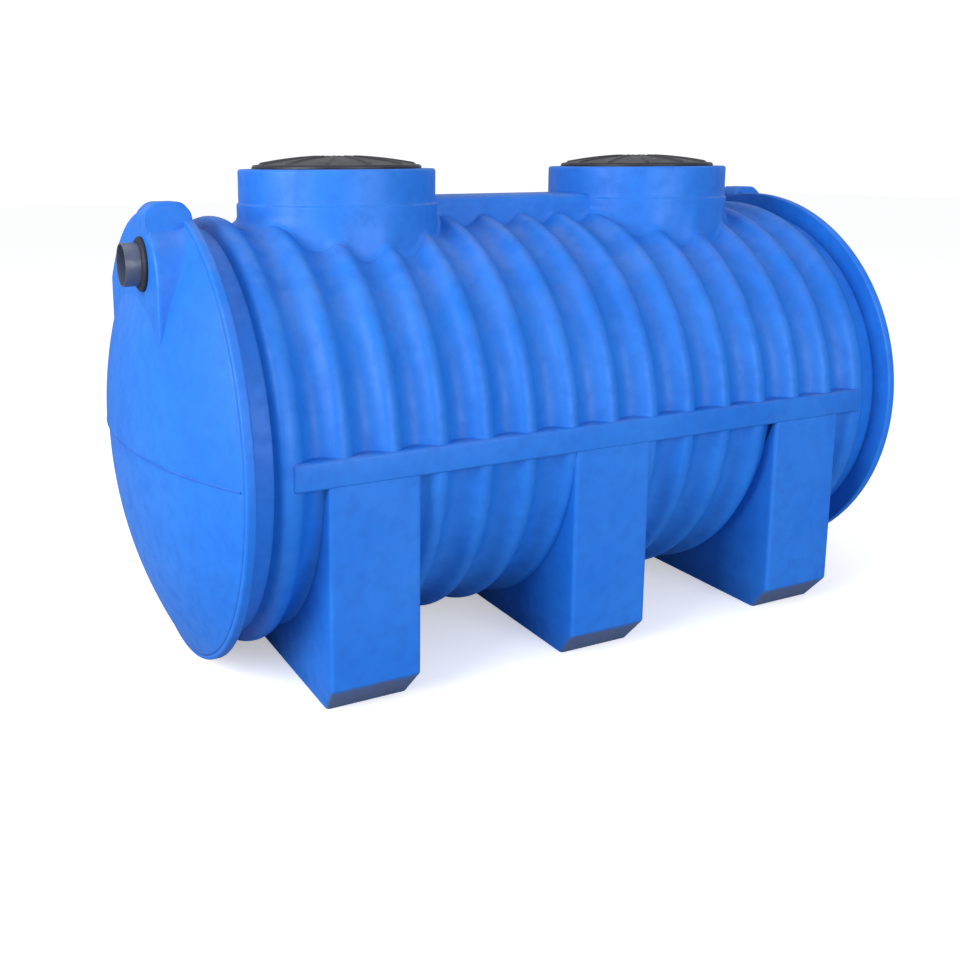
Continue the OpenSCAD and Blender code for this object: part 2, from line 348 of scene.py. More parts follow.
def group(
    name: str, inputs: dict[str, float], outputs: tuple[str, ...]
) -> tuple[Nodes, bpy.types.Node, bpy.types.Node]:
    """Starts a shader node group with a Vector input and named number inputs.

    Args:
        name: Name of the group.
        inputs: Number inputs and their defaults.
        outputs: Names of the number outputs.

    Returns:
        A layout helper on the group's tree, and the tree's input and output nodes.
    """
    tree = bpy.data.node_groups.new(name, "ShaderNodeTree")
    tree.interface.new_socket("Vector", in_out="INPUT", socket_type="NodeSocketVector")
    for key, value in inputs.items():
        tree.interface.new_socket(key, in_out="INPUT", socket_type="NodeSocketFloat").default_value = value
    for key in outputs:
        tree.interface.new_socket(key, in_out="OUTPUT", socket_type="NodeSocketFloat")
    lay = Nodes(tree)
    return lay, lay.add("NodeGroupInput"), lay.add("NodeGroupOutput")


class Effects:
    """Shared node groups: moulded grain, dust, dirt with painted shade low down, rubbed edges and painted
    shade in hollows.
    """

    def __init__(self) -> None:
        """Builds each group once."""
        self.grain = self._grain()
        # The dust group also paints shade with its dirt low on down-facing faces; the wear group paints
        # shade in hollows.
        self.dust = self._dust_dirt_and_shade()
        self.wear_and_shade = self._wear_and_shade()

    def _grain(self) -> bpy.types.NodeTree:
        """Skin of a moulding: orange peel, slow sink marks and fine scratches, as a height."""
        lay, into, out = group(
            "moulded_grain", {"Peel": 1.0, "Sink": 1.0, "Scratch": 0.5}, ("Height", "Scratches")
        )
        vector = into.outputs["Vector"]
        peel = lay.times(lay.noise(vector, 260.0, 2.0), into.outputs["Peel"])
        sink = lay.times(lay.noise(vector, 7.0, 2.0), into.outputs["Sink"])
        streak = {"Vector": vector, "Scale": (6.0, 60.0, 90.0), "Rotation": (0.4, 0.1, 0.25)}
        stretch = lay.add("ShaderNodeMapping", streak)
        lines = lay.noise(stretch.outputs[0], 3.0, 6.0, 0.7)
        scratch = lay.times(lay.ramp(lines, 0.64, 0.72), into.outputs["Scratch"])
        total = lay.math("ADD", lay.times(peel, 0.12), sink)
        lay.link(lay.math("SUBTRACT", total, lay.times(scratch, 0.05)), out.inputs["Height"])
        lay.link(scratch, out.inputs["Scratches"])
        return lay.tree

    def _dust_dirt_and_shade(self) -> bpy.types.NodeTree:
        """Dust on faces that look up, and dirt with painted shade on faces that look down near the ground,
        as masks.
        """
        amounts = {"Dust": 0.5, "Dirt": 0.5, "Splash": 0.16}
        lay, into, out = group("dust_dirt_and_shade", amounts, ("Dust", "Dirt"))
        vector = into.outputs["Vector"]
        normal = lay.add("ShaderNodeNewGeometry").outputs["Normal"]
        facing = lay.add("ShaderNodeSeparateXYZ", {0: normal}).outputs["Z"]
        patch = lay.ramp(lay.noise(vector, 9.0, 6.0, 0.62), 0.34, 0.68)
        dust = lay.times(lay.times(lay.ramp(facing, 0.15, 1.0), patch), into.outputs["Dust"])
        height = lay.add("ShaderNodeSeparateXYZ", {0: vector}).outputs["Z"]
        wave = lay.times(lay.math("SUBTRACT", lay.noise(vector, 14.0, 5.0), 0.5), 0.05)
        start = lay.times(into.outputs["Splash"], 0.72)
        wavy = lay.math("SUBTRACT", height, wave)
        span = {"Value": wavy, "From Min": start, "From Max": into.outputs["Splash"]}
        rise = lay.add("ShaderNodeMapRange", span)
        low = lay.math("SUBTRACT", 1.0, rise.outputs["Result"])
        # Painted shade mixed with dirt: faces that look down near the ground take the dark tone.
        under = lay.ramp(lay.math("SUBTRACT", 0.0, facing), 0.25, 0.50)
        dirt = lay.times(lay.times(low, under), into.outputs["Dirt"], clamp=True)
        lay.link(dust, out.inputs["Dust"])
        lay.link(dirt, out.inputs["Dirt"])
        return lay.tree

    def _wear_and_shade(self) -> bpy.types.NodeTree:
        """Rubbed edges, and painted shade that darkens hollows, from the curvature of the surface, as two
        masks.
        """
        lay, into, out = group("rubbed_edges_and_hollow_shade", {"Edge": 0.6, "Hollow": 0.5}, ("Edge", "Hollow"))
        curve = lay.add("ShaderNodeNewGeometry").outputs["Pointiness"]
        patch = lay.noise(into.outputs["Vector"], 22.0, 5.0, 0.65)
        edge = lay.times(lay.ramp(curve, 0.52, 0.60), lay.ramp(patch, 0.42, 0.66))
        edge = lay.times(edge, into.outputs["Edge"])
        # Painted shade: concave places, where shade falls, get the deep tone.
        hollow = lay.math("SUBTRACT", 1.0, lay.ramp(curve, 0.42, 0.495))
        hollow = lay.times(hollow, into.outputs["Hollow"])
        lay.link(edge, out.inputs["Edge"])
        lay.link(hollow, out.inputs["Hollow"])
        return lay.tree


@dataclass(frozen=True)
class MouldedFinish:
    """Moulded plastic or rubber: three tones, gloss, relief, dust, dirt with painted shade, rubbed edges,
    painted shade in hollows.
    """

    name: str
    base: Colour
    deep: Colour
    pale: Colour
    roughness: float
    peel: float = 1.0
    sink: float = 1.0
    relief: float = 0.35
    dust: float = 0.35
    # Amount and top height of the dark band low on down-facing faces, partly dirt and partly painted shade.
    dirt: float = 0.0
    splash: float = 0.16
    edge: float = 0.4
    # Strength of the painted shade in hollows.
    hollow: float = 0.5
    specular: float = 0.5
    cloud_scale: float = 2.6
    rub: Colour = (0.12, 0.17, 0.52)
    dust_colour: Colour = (0.42, 0.40, 0.37)
    # Tone of the dark band: dirt that also stands in for shade.
    dirt_and_shade_colour: Colour = (0.085, 0.105, 0.155)

    def make(self, effects: Effects) -> Material:
        """Builds the material.

        Args:
            effects: The shared node groups.

        Returns:
            The material, coloured by clouds of its three tones, then painted shade in hollows, rubbed
            edges, dust, and dirt with painted shade.
        """
        material = bpy.data.materials.new(self.name)
        material.use_nodes = True
        tree = material.node_tree
        tree.nodes.clear()
        lay = Nodes(tree)
        where = lay.add("ShaderNodeTexCoord").outputs["Object"]
        grain = self._group(lay, effects.grain, where, {"Peel": self.peel, "Sink": self.sink})
        # Dust, and dirt mixed with painted shade low on down-facing faces.
        dust_dirt_shade_amounts = {"Dust": self.dust, "Dirt": self.dirt, "Splash": self.splash}
        dust_dirt_shade = self._group(lay, effects.dust, where, dust_dirt_shade_amounts)
        # Rubbed edges, and painted shade in hollows.
        worn_and_shaded = self._group(lay, effects.wear_and_shade, where, {"Edge": self.edge, "Hollow": self.hollow})
        cloud = lay.ramp(lay.noise(where, self.cloud_scale, 4.0, 0.6), 0.3, 0.72)
        mottle = lay.ramp(lay.noise(where, self.cloud_scale * 9.0, 5.0, 0.65), 0.35, 0.75)
        tones = (self.base, self.deep, self.pale, self.rub, self.dust_colour, self.dirt_and_shade_colour)
        base, deep, pale, rub, dusty, dirt_and_shade_tone = ((*tone, 1.0) for tone in tones)
        colour = lay.mix(lay.times(cloud, 0.45), base, pale)
        colour = lay.mix(lay.times(mottle, 0.22), colour, deep)
        # Painted shade: the deep tone in hollows.
        colour = lay.mix(worn_and_shaded.outputs["Hollow"], colour, deep)
        colour = lay.mix(worn_and_shaded.outputs["Edge"], colour, rub)
        colour = lay.mix(lay.times(grain.outputs["Scratches"], 0.35), colour, rub)
        colour = lay.mix(dust_dirt_shade.outputs["Dust"], colour, dusty)
        # Dirt and painted shade on low down-facing faces.
        colour = lay.mix(dust_dirt_shade.outputs["Dirt"], colour, dirt_and_shade_tone)
        gloss = lay.math("ADD", self.roughness - 0.06, lay.times(mottle, 0.12))
        gloss = lay.math("ADD", gloss, lay.times(dust_dirt_shade.outputs["Dust"], 0.35))
        gloss = lay.math("ADD", gloss, lay.times(dust_dirt_shade.outputs["Dirt"], 0.3), clamp=True)
        skin = {"Height": grain.outputs["Height"], "Strength": self.relief, "Distance": 0.004}
        bump = lay.add("ShaderNodeBump", skin)
        look = {"Base Color": colour, "Roughness": gloss, "Normal": bump.outputs[0]}
        shader = lay.add("ShaderNodeBsdfPrincipled", look)
        shader.inputs["Specular IOR Level"].default_value = self.specular
        lay.add("ShaderNodeOutputMaterial", {"Surface": shader.outputs[0]})
        return material

    @staticmethod
    def _group(
        lay: Nodes, tree: bpy.types.NodeTree, where: Socket, values: dict[str, float]
    ) -> bpy.types.Node:
        """Places a shared group and sets its inputs."""
        return lay.add("ShaderNodeGroup", {"Vector": where, **values}, node_tree=tree)


# Finishes; each hollow setting is the strength of the painted shade in hollows.
TANK_BLUE = MouldedFinish(
    "tank_blue", base=(0.006, 0.130, 0.560), deep=(0.002, 0.045, 0.290), pale=(0.026, 0.185, 0.640),
    roughness=0.50, specular=0.26, relief=0.26, dust=0.08, edge=0.30, hollow=0.50,
    rub=(0.060, 0.180, 0.520),
)
# The feet add a dark band low on down-facing faces, partly dirt and partly painted shade.
FOOT_BLUE = MouldedFinish(
    "foot_blue", base=(0.006, 0.128, 0.560), deep=(0.002, 0.045, 0.290), pale=(0.026, 0.180, 0.620),
    roughness=0.52, specular=0.26, relief=0.26, dust=0.08, dirt=0.80, splash=0.083, edge=0.35,
    hollow=0.50, rub=(0.060, 0.180, 0.520),
)
LID_BLACK = MouldedFinish(
    "lid_black", base=(0.010, 0.010, 0.016), deep=(0.004, 0.004, 0.008), pale=(0.026, 0.026, 0.040),
    roughness=0.46, specular=0.4, relief=0.4, dust=0.10, edge=0.4, hollow=0.5,
    rub=(0.06, 0.06, 0.08), dust_colour=(0.10, 0.10, 0.13),
)
PIPE_GREY = MouldedFinish(
    "pipe_grey", base=(0.062, 0.078, 0.130), deep=(0.026, 0.032, 0.058), pale=(0.105, 0.122, 0.185),
    roughness=0.36, specular=0.4, relief=0.12, peel=0.4, sink=0.3, dust=0.15, edge=0.4, hollow=0.4,
    cloud_scale=9.0, rub=(0.17, 0.19, 0.25), dust_colour=(0.18, 0.19, 0.22),
)
SEAL_RUBBER = MouldedFinish(
    "seal_rubber", base=(0.010, 0.012, 0.026), deep=(0.005, 0.006, 0.012), pale=(0.022, 0.025, 0.045),
    roughness=0.60, specular=0.3, relief=0.35, dust=0.12, edge=0.2, hollow=0.4, cloud_scale=14.0,
    rub=(0.045, 0.05, 0.075), dust_colour=(0.07, 0.075, 0.10),
)


# ---- the barrel ----


@dataclass
class Barrel:
    """Ribbed barrel between the two end flanges."""

    axis_z: float = AXIS_Z
    crest_r: float = 0.584
    rib_depth: float = 0.032
    rib_pitch: float = 0.130
    crest_w: float = 0.036
    shoulder_w: float = 0.046
    crest_drop: float = 0.005
    groove_depth: float = 0.030
    half_len: float = 1.008
    groove_ease: float = 0.012
    last_rib: int = 7
    wall: float = WALL_T
    manholes: tuple[tuple[float, float], ...] = ((INLET_X, NECK_MID_R), (OUTLET_X, NECK_MID_R))
    snap: float = 0.0085
    grid: tuple[int, int] = (268, 192)

    def radius(self, x: Array) -> Array:
        """Outer radius of the barrel at each x.

        Args:
            x: Places along the tank.

        Returns:
            crest_r - drop (s / w)^2 over a crest of half width w, a parabola of rib_depth
            between two crests, and the groove's floor beyond the shoulders.
        """
        shoulder_x = self.rib_pitch * self.last_rib
        near = np.clip(np.round(x / self.rib_pitch), -self.last_rib, self.last_rib)
        half = np.where(np.abs(near) == self.last_rib, self.shoulder_w, self.crest_w) / 2
        s = np.abs(x - near * self.rib_pitch)
        crest = self.crest_r - self.crest_drop * (s / half) ** 2
        low = np.floor(x / self.rib_pitch)
        low_half = np.where(np.abs(low) == self.last_rib, self.shoulder_w, self.crest_w) / 2
        high_half = np.where(np.abs(low + 1) == self.last_rib, self.shoulder_w, self.crest_w) / 2
        start, stop = low * self.rib_pitch + low_half, (low + 1) * self.rib_pitch - high_half
        t = np.clip((x - start) / (stop - start), 0.0, 1.0)
        depth = (self.rib_depth - self.crest_drop) * (1 - (2 * t - 1) ** 2)
        valley = self.crest_r - self.crest_drop - depth
        r = np.where(s <= half, crest, valley)
        beyond = np.abs(x) - (shoulder_x + self.shoulder_w / 2)
        floor = self.crest_r - self.groove_depth
        fall = (floor - self.crest_r + self.crest_drop) * smooth(0.0, self.groove_ease, beyond)
        return np.where(beyond > 0, self.crest_r - self.crest_drop + fall, r)

    def height(self, x: Array, y: Array) -> Array:
        """Height of the barrel's outer face over the axis at each x and y, 0 beyond its side."""
        r = self.radius(x)
        return np.sqrt(np.maximum(r * r - y * y, 0.0))

    def skin(self) -> Parts:
        """Outer skin over x and the angle, with the two manholes left open.

        Returns:
            The grid's vertices and faces, where points within snap of a manhole's edge are
            moved onto it.
        """
        along = np.linspace(-self.half_len, self.half_len, self.grid[0])
        around = np.linspace(0.0, 2 * math.pi, self.grid[1], endpoint=False)
        x, a = np.meshgrid(along, around, indexing="ij")
        r = self.radius(x)
        points = np.stack([x, r * np.sin(a), self.axis_z + r * np.cos(a)], axis=-1)
        outside = np.ones(points.shape[:2], bool)
        for centre, radius in self.manholes:
            dx, dy = points[..., 0] - centre, points[..., 1]
            d = np.hypot(dx, dy)
            top = points[..., 2] > self.axis_z
            move = top & (np.abs(d - radius) < self.snap)
            scale = np.where(move, radius / np.maximum(d, 1e-6), 1.0)
            points[..., 0], points[..., 1] = centre + dx * scale, dy * scale
            lifted = self.axis_z + self.height(points[..., 0], points[..., 1])
            points[..., 2] = np.where(move, lifted, points[..., 2])
            outside &= ~(top & (d < radius - self.snap))
        return [Surface(points, wrap_v=True).mesh_data(whole_quads(outside))]

    def build(self, material: Material) -> None:
        """Makes the skin, which stands for the sectors and the crown's bays."""
        bands, sides = ("bottom", "low", "high"), ("left", "right")
        sectors = [f"shell_{band}_{side}" for band in bands for side in sides]
        bays = ("inlet_end", "inlet_manhole", "middle", "outlet_manhole", "outlet_end")
        nodes = tuple(sectors + [f"crown_{bay}" for bay in bays])
        Piece("barrel_skin", Body.TANK, material, "tank_blue", nodes, 50.0).build(self.skin(), self.wall)


# ---- the ends ----


@dataclass
class TankEnd:
    """One end: flange, domed wall, pipe pad with its head, pipe and seal, drawn for the inlet."""

    end: End
    axis_z: float = AXIS_Z
    face_x: float = -1.034
    flange_t: float = 0.026
    flange_r: float = 0.610
    groove_r: float = 0.545
    dome_r: float = 0.5985
    dome_depth: float = 0.154
    dome_power: float = 2.2
    dome_grid: tuple[int, int] = (101, 320)
    seam_step: float = 0.006
    seam_bead: tuple[float, float] = (0.0055, 0.0035)
    wall_t: float = WALL_T
    pad_out: float = 0.096
    pad_side: float = 0.118
    pad_r: float = 0.150
    pad_rise: float = 0.423
    pad_edge: float = 0.010
    pad_flare: float = 0.007
    pad_steps: int = 720
    brow: tuple[float, float, float] = (0.055, 0.052, 0.560)
    brow_reach: float = 0.380
    head: tuple[float, float, float] = (0.038, 0.020, 0.026)
    head_drop: float = 0.066
    head_flare: float = 0.036
    head_round: tuple[float, float] = (0.14, 0.16)
    pipe_rise: float = 0.475
    pipe_r: float = 0.055
    pipe_wall: float = 0.0032
    pipe_out: float = 0.052
    pipe_len: float = 0.234
    hole_r: float = 0.063
    snap: float = 0.0060
    lip: tuple[float, float] = (0.015, 0.013)

    def pad_distance(self, y: Array, z: Array) -> Array:
        """Signed distance to the outline of the pad in front view, negative inside.

        Args:
            y: Sideways places.
            z: Heights over the axis.

        Returns:
            The largest of the distances to the brow's circle, the flange's rim, the far and
            lower edges, and the union of the corner's circle with the boxes beside and under it.
        """
        side, rise, radius = self.brow
        rim = np.hypot(y, z) - self.flange_r + 0.001
        brow = np.maximum(np.hypot(y + self.pad_side + side, z - rise) - radius, rim)
        corner = np.hypot(y + self.pad_side, z - self.pad_rise) - self.pad_r
        below = np.maximum(-(y + self.pad_side + self.pad_r), z - self.pad_rise)
        union = np.minimum(corner, np.minimum(np.maximum(below, y + self.pad_side), -(y + self.pad_side)))
        return np.maximum(np.maximum(brow, union), np.maximum(y - (self.brow_reach - self.pad_side), -z))

    def outline(self, angle: Array) -> Array:
        """Distance from the pipe's axis to the pad's outline at each angle, found by halving."""
        beyond, halvings = 0.75, 30
        low, high = np.full_like(angle, self.hole_r), np.full_like(angle, beyond)
        for _ in range(halvings):
            mid = (low + high) / 2
            y, z = mid * np.cos(angle) - self.pad_side, mid * np.sin(angle) + self.pipe_rise
            inside = self.pad_distance(y, z) < 0
            low, high = np.where(inside, mid, low), np.where(inside, high, mid)
        return low

    def dome(self, y: Array, z: Array) -> Array:
        """How far the domed wall stands out of the flange's face.

        Args:
            y: Sideways places.
            z: Heights over the axis.

        Returns:
            depth (1 - (r / R)^p), where the lower half is shallower by the moulding seam's step.
        """
        r = np.clip(np.hypot(y, z) / self.dome_r, 0.0, 1.0)
        depth = self.dome_depth - self.seam_step * smooth(0.003, -0.003, z)
        return depth * (1.0 - r**self.dome_power)

    def pad(self) -> Parts:
        """Pad over the angle around the pipe and the way from the hole over the edge.

        Returns:
            A grid that runs flat from the hole to the outline, turns over it in a round edge
            and goes back to the dome or the flange's face with a small flare where it lands.
        """
        a = np.linspace(0.0, 2 * math.pi, self.pad_steps, endpoint=False)
        rho = self.outline(a)
        y0, z0 = rho * np.cos(a), rho * np.sin(a)
        edge = self.pad_edge
        flat = np.linspace(0.0, 1.0, 15)[None, :]
        flat = (self.hole_r + (rho - edge - self.hole_r)[:, None] * flat) / rho[:, None]
        turn = np.linspace(0.0, math.pi / 2, 8)[None, 1:]
        round_k = 1 - edge * (1 - np.sin(turn)) / rho[:, None]
        y, z = y0 - self.pad_side, z0 + self.pipe_rise
        land = np.where(np.hypot(y, z) < self.dome_r, self.dome(y, z) - 0.004, -0.002)[:, None]
        side = np.linspace(0.0, 1.0, 10)[None, 1:]
        flare = self.pad_flare * side**6 * smooth(0.0, 0.03, self.pad_out - land)
        scale = np.concatenate([flat, round_k, 1 + flare / rho[:, None]], axis=1)
        shoulder = self.pad_out - edge * (1 - np.cos(turn)) + 0.0 * round_k
        back = np.minimum((self.pad_out - edge) * (1 - side) + land * side, shoulder[:, -1:])
        out = np.concatenate([self.pad_out + 0.0 * flat, shoulder, back], axis=1)
        y = scale * y0[:, None] - self.pad_side
        z = self.axis_z + self.pipe_rise + scale * z0[:, None]
        points = self.end.place(np.stack([self.face_x - out, y, z], axis=-1))
        return [Surface(points, wrap_u=True, flip=True).mesh_data()]

    def crown(self) -> Parts:
        """Head of the pad over its profile and across it, with sloping sides.

        Returns:
            A grid whose profile, bevelled in front and behind, is carried across the head:
            its sides rise from the base, round over the top and widen toward the base by
            flare (1 - h)^1.5, where h is the height over the base as a share of the head's.
        """
        half, lift, bevel = self.head
        top, base = self.flange_r + lift, self.pipe_rise + self.head_drop
        front, back = self.face_x - self.pad_out + 0.0004, self.face_x + self.flange_t - 0.001
        corners = [
            (front, base), (front, top - bevel), (front + bevel, top), (self.face_x + 0.004, top),
            (back, top - bevel), (back, base),
        ]
        profile = refine(rounded_line(corners, [0.0, 0.012, 0.016, 0.014, 0.008, 0.0]), 0.008)
        sides, over = 10, 17
        high, pinch = self.head_round
        t = np.linspace(0.0, 1.0, sides)
        turn = np.linspace(0.0, math.pi / 2, 7)[1:]
        rise = np.concatenate([t * (1 - high), (1 - high) + high * np.sin(turn)])
        across = np.concatenate([np.ones(sides), 1 - pinch * (1 - np.cos(turn))])
        mid = np.linspace(across[-1], -across[-1], over)[1:-1]
        rise = np.concatenate([rise, np.ones(over - 2), rise[::-1]])
        across = np.concatenate([across, mid, -across[::-1]])
        x = profile[:, 0][:, None] + 0.0 * rise[None, :]
        h = (profile[:, 1] - base)[:, None] * rise[None, :]
        y = (half + self.head_flare * (1 - h / (top - base)) ** 1.5) * across[None, :]
        points = np.stack([x, y - self.pad_side, self.axis_z + base + h], axis=-1)
        return [Surface(self.end.place(points), flip=True).mesh_data()]

    def seam(self) -> Parts:
        """Parting line of the mould: half an ellipse carried across the dome at its axis."""
        high, half = self.seam_bead
        share, steps = 0.985, 160
        y = np.linspace(-share, share, steps) * self.dome_r
        t = np.linspace(0.0, math.pi, 7)
        out = self.dome(y, np.full_like(y, 0.001))[:, None] - 0.003 + high * np.sin(t)[None, :]
        z = self.axis_z - 0.001 - half * np.cos(t)[None, :] + 0.0 * out
        points = np.stack([self.face_x - out, y[:, None] + 0.0 * out, z], axis=-1)
        return [Surface(self.end.place(points)).mesh_data()]

    def wall(self) -> Parts:
        """Domed wall over radius and angle, with the pipe's hole left open.

        Returns:
            The grid's vertices and faces, where points within snap of the hole's edge lie on it.
        """
        rings = np.concatenate([[1e-4], np.linspace(0.0, 1.0, self.dome_grid[0])[1:] ** 0.9])
        around = np.linspace(0.0, 2 * math.pi, self.dome_grid[1], endpoint=False)
        r, a = np.meshgrid(self.dome_r * rings, around, indexing="ij")
        y, z = r * np.cos(a), r * np.sin(a)
        dy, dz = y + self.pad_side, z - self.pipe_rise
        d = np.hypot(dy, dz)
        scale = np.where(np.abs(d - self.hole_r) < self.snap, self.hole_r / np.maximum(d, 1e-6), 1.0)
        y, z = -self.pad_side + dy * scale, self.pipe_rise + dz * scale
        x = self.face_x - self.dome(y, z)
        keep = whole_quads(d >= self.hole_r - self.snap)
        points = self.end.place(np.stack([x, y, self.axis_z + z], axis=-1))
        return [Surface(points, wrap_v=True, flip=True).mesh_data(keep)]

    def carried(self, section: Array, steps: int, y: float, rise: float, flip: bool) -> Parts:
        """Section (radius, x) carried around an axis along x, then turned round to this end.

        Args:
            section: The closed section.
            steps: Points around.
            y: Sideways place of the axis.
            rise: Height of the axis over the barrel's.
            flip: Whether the faces turn over.

        Returns:
            The ring's vertices and faces.
        """
        ring = revolve(section, steps, (0.0, y, self.axis_z + rise), flip)
        ring.points = self.end.place(ring.points)
        return [ring.mesh_data()]

    def flange(self) -> Parts:
        """Flange as a ring with rounded rims, its section carried around the axis."""
        back, front = self.face_x + self.flange_t, self.face_x
        corners = [
            (self.groove_r, back), (self.flange_r, back), (self.flange_r, front),
            (self.dome_r - 0.010, front), (self.groove_r, front), (self.groove_r, back),
        ]
        section = rounded_line(corners, [0.0, 0.006, 0.008, 0.0, 0.004, 0.0], steps=6)
        return self.carried(refine(section, 0.02), 288, 0.0, 0.0, flip=False)

    def pipe(self) -> Parts:
        """Pipe as a closed section carried around its own axis, with a sawn, eased mouth."""
        mouth = self.face_x - self.pad_out - self.pipe_out
        outer, inner, tail = self.pipe_r, self.pipe_r - self.pipe_wall, mouth + self.pipe_len
        corners = [(outer, tail), (outer, mouth), (inner, mouth), (inner, tail), (outer, tail)]
        section = rounded_line(corners, [0.0, 0.0011, 0.0011, 0.0, 0.0], steps=3)
        return self.carried(refine(section, 0.02), 96, -self.pad_side, self.pipe_rise, flip=True)

    def seal(self) -> Parts:
        """Rubber seal: a sleeve through the wall and a rounded lip with a raised bead."""
        width, thick = self.lip
        pad_x, sleeve = self.face_x - self.pad_out, self.hole_r - 0.0005
        grip, outer = self.pipe_r + 0.0004, self.pipe_r + width
        corners = [
            (grip, self.face_x), (grip, pad_x - thick), (grip + 0.006, pad_x - thick),
            (outer, pad_x - thick * 0.55), (outer, pad_x - 0.0002), (sleeve, pad_x - 0.0002),
            (sleeve, self.face_x), (grip, self.face_x),
        ]
        section = rounded_line(corners, [0.0, 0.002, 0.003, 0.004, 0.001, 0.0, 0.0, 0.0], steps=4)
        return self.carried(refine(section, 0.012), 128, -self.pad_side, self.pipe_rise, flip=True)

    def build(self, blue: Material, grey: Material, rubber: Material) -> None:
        """Makes the pieces of this end.

        Args:
            blue: Finish of the moulding.
            grey: Finish of the pipe.
            rubber: Finish of the seal.
        """
        word = self.end.word
        dome, pad, blue_slot = (f"dome_{word}",), (f"pad_{word}",), "tank_blue"
        Piece(f"{word}_end_wall", Body.TANK, blue, blue_slot, dome, 38.0).build(self.wall(), self.wall_t)
        Piece(f"{word}_flange_ring", Body.TANK, blue, blue_slot, (f"flange_{word}",)).build(self.flange())
        Piece(f"{word}_pipe_pad", Body.TANK, blue, blue_slot, pad, 50.0).build(self.pad())
        Piece(f"{word}_pad_head", Body.TANK, blue, blue_slot, pad, 50.0).build(self.crown())
        Piece(f"{word}_mould_seam", Body.TANK, blue, blue_slot, dome, 80.0).build(self.seam())
        Piece(f"{word}_pipe_end", Body.TANK, grey, "pipe_grey", (f"pipe_{word}",)).build(self.pipe())
        seal = Piece(f"{word}_pipe_seal", Body.TANK, rubber, "seal_rubber", (f"seal_{word}",))
        seal.build(self.seal())


# ---- feet, rails and deck ----


@dataclass
class Saddle:
    """A pair of feet that together carry the barrel at one place."""

    word: str
    x: float
    barrel: Barrel
    half_len: float = 0.123
    reach: float = SIDE_REACH
    trim_y: float = 0.5835
    bevel_h: float = 0.076
    bevel_in: float = 0.062
    bevel_end: float = 0.012
    top: float = 0.590
    corner: float = 0.014

    def side_skin(self, side: float) -> tuple[Array, Array]:
        """Walls and sole of one foot over the way around it and the height.

        Args:
            side: 1 for the left foot, -1 for the right.

        Returns:
            The grid, which runs from the middle of the sole out over the bevel and up to the
            foot's top or to 6 mm inside the barrel's skin, whichever is lower.
        """
        ease = self.corner * 6
        corners = [(-1.0, 0.0), (-1.0, 1.0), (1.0, 1.0), (1.0, 0.0)]
        plan = rounded_line(corners, [0.0, ease, ease, 0.0], steps=6)
        plan[:, 1] = np.where(plan[:, 1] > 0.9, 1 - (1 - plan[:, 1]) * 0.25, plan[:, 1])
        plan = refine(plan, 0.06)
        cx, cy = plan[:, 0][:, None], plan[:, 1][:, None]
        sole = [0.0, 0.35, 0.7, 0.97]
        spans = ((0.0, 0.10, 3), (0.14, 0.9, 5), (0.96, 1.08, 4), (1.3, 8.0, 16))
        rise = np.concatenate([np.zeros(len(sole))] + [np.linspace(*span) for span in spans])
        pull = np.concatenate([sole, np.ones(len(rise) - len(sole))])
        level = np.minimum(rise * self.bevel_h, self.top)
        raw = np.clip(level / self.bevel_h, 0.0, 1.0)
        inset = np.clip(soft_max(np.zeros_like(raw), 1.0 - raw, 0.10), 0.0, 1.0)
        hx = (self.half_len - self.bevel_end * inset)[None, :] * pull[None, :]
        hy = (self.reach - self.bevel_in * inset)[None, :]
        x, y = cx * hx, cy * hy
        belly = self.barrel.axis_z - self.barrel.height(self.x + x, y) + 0.006
        roof = np.minimum(np.where(y < self.trim_y, belly, self.top), self.top)
        z = np.minimum(level[None, :] + 0.0 * x, roof)
        points = np.stack([self.x + x, side * y, z], axis=-1)
        return Surface(points, flip=side > 0).mesh_data()

    def build(self, material: Material) -> None:
        """Makes both feet as one piece."""
        nodes = (f"foot_{self.word}_left", f"foot_{self.word}_right")
        piece = Piece(f"{self.word}_saddle", Body.TANK, material, "tank_blue", nodes, 34.0)
        piece.build([self.side_skin(1.0), self.side_skin(-1.0)])


@dataclass
class Rail:
    """Plain band along one side, just over the feet."""

    side: float
    word: str
    axis_z: float = AXIS_Z
    half_len: float = 0.910
    reach: float = SIDE_REACH
    inner: float = 0.549
    height: float = 0.070
    rise: float = 0.010

    def build(self, material: Material) -> None:
        """Makes the band: a rounded section carried along x, drawn in a little at its ends."""
        low, high = self.rise - self.height / 2, self.rise + self.height / 2
        corners = [(self.inner, low), (self.reach, low), (self.reach, high), (self.inner, high)]
        section = rounded_line(corners, [0.0, 0.007, 0.009, 0.0])
        back, drawn = np.array([0.0, 0.0, 0.002, 0.007]), np.array([0.0, 0.86, 0.96, 1.0])
        x = np.concatenate([-self.half_len + back, [0.0], (self.half_len - back)[::-1]])
        k = np.concatenate([drawn, [1.0], drawn[::-1]])
        mid = np.array([self.reach - 0.014, self.rise])
        y = mid[0] + (section[None, :, 0] - mid[0]) * k[:, None]
        z = mid[1] + (section[None, :, 1] - mid[1]) * k[:, None]
        points = np.stack([x[:, None] + 0.0 * y, self.side * y, self.axis_z + z], axis=-1)
        nodes = (f"rail_{self.word}",)
        piece = Piece(f"{self.word}_rail_band", Body.TANK, material, "tank_blue", nodes, 50.0)
        piece.build([Surface(points, flip=self.side < 0).mesh_data()])


